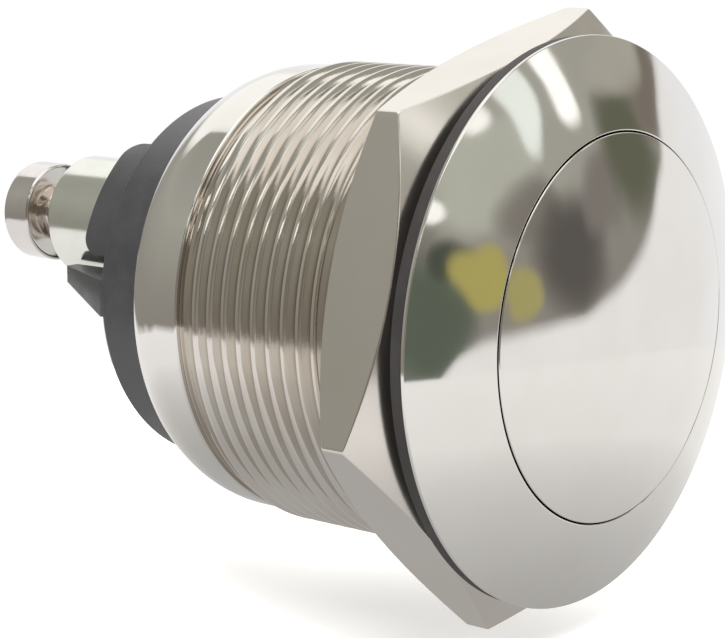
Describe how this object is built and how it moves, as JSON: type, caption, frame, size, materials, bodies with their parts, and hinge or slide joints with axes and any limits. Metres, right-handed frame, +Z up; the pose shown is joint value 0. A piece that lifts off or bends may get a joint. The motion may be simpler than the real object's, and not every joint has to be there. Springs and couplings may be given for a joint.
{
  "type": "anti vandal push button",
  "caption": "Domed metal push button switch with a threaded barrel, hexagon panel nut, black rear moulding and screw terminals.",
  "frame": {"origin": "centre of the flange's seating face, on the axis of the barrel, where the front of the panel meets it", "axes": "+Y along the barrel from the head to the terminals, so the button faces -Y; +Z up, +X to the right seen from the front"},
  "size_m": [0.0236, 0.0296, 0.0236],
  "materials": {
    "plated_metal": "polished nickel plate on turned brass",
    "nut_metal": "satin nickel plate",
    "terminal_metal": "bright nickel plate on turned brass",
    "screw_metal": "bright nickel plate on steel",
    "spring_steel": "drawn spring wire",
    "contact_brass": "rolled brass strip",
    "contact_silver": "fine silver",
    "white_nylon": "natural nylon",
    "black_moulding": "black moulded phenolic, fine matt texture",
    "seal_rubber": "black rubber"
  },
  "bodies": {
    "housing": {"body": "plated_metal", "guide_sleeve": "white_nylon", "base": "black_moulding", "base_seal": "seal_rubber", "fixed_contact_a": "contact_silver", "fixed_contact_b": "contact_silver", "terminal_post_a": "terminal_metal", "terminal_post_b": "terminal_metal", "panel_seal": "seal_rubber", "return_spring": "spring_steel"},
    "button": {"button_cap": "plated_metal", "cap_seal": "seal_rubber", "retaining_clip": "spring_steel", "plunger": "white_nylon", "contact_spring": "spring_steel"},
    "bridge": {"contact_bridge": "contact_brass", "bridge_tips": "contact_silver"},
    "nut": {"mounting_nut": "nut_metal"},
    "screw_a": {"terminal_screw_a": "screw_metal"},
    "screw_b": {"terminal_screw_b": "screw_metal"}
  },
  "joints": [
    {"name": "button_press", "type": "slide", "parent": "housing", "child": "button", "axis": [0, 1, 0], "range_m": [0, 0.002], "stiffness_N_per_m": 900, "springref_m": -0.002, "deforming": ["return_spring", "contact_spring"]},
    {"name": "bridge_travel", "type": "slide", "parent": "housing", "child": "bridge", "axis": [0, 1, 0], "range_m": [0, 0.0014]},
    {"name": "nut_travel", "type": "slide", "parent": "housing", "child": "nut", "axis": [0, 1, 0], "range_m": [0, 0.0073]},
    {"name": "screw_a_travel", "type": "slide", "parent": "housing", "child": "screw_a", "axis": [0, -1, 0], "range_m": [0, 0.00175]},
    {"name": "screw_b_travel", "type": "slide", "parent": "housing", "child": "screw_b", "axis": [0, -1, 0], "range_m": [0, 0.00175]}
  ],
  "couplings": [
    {"joint": "bridge_travel", "follows": "button_press", "ratio": 0.7}
  ]
}
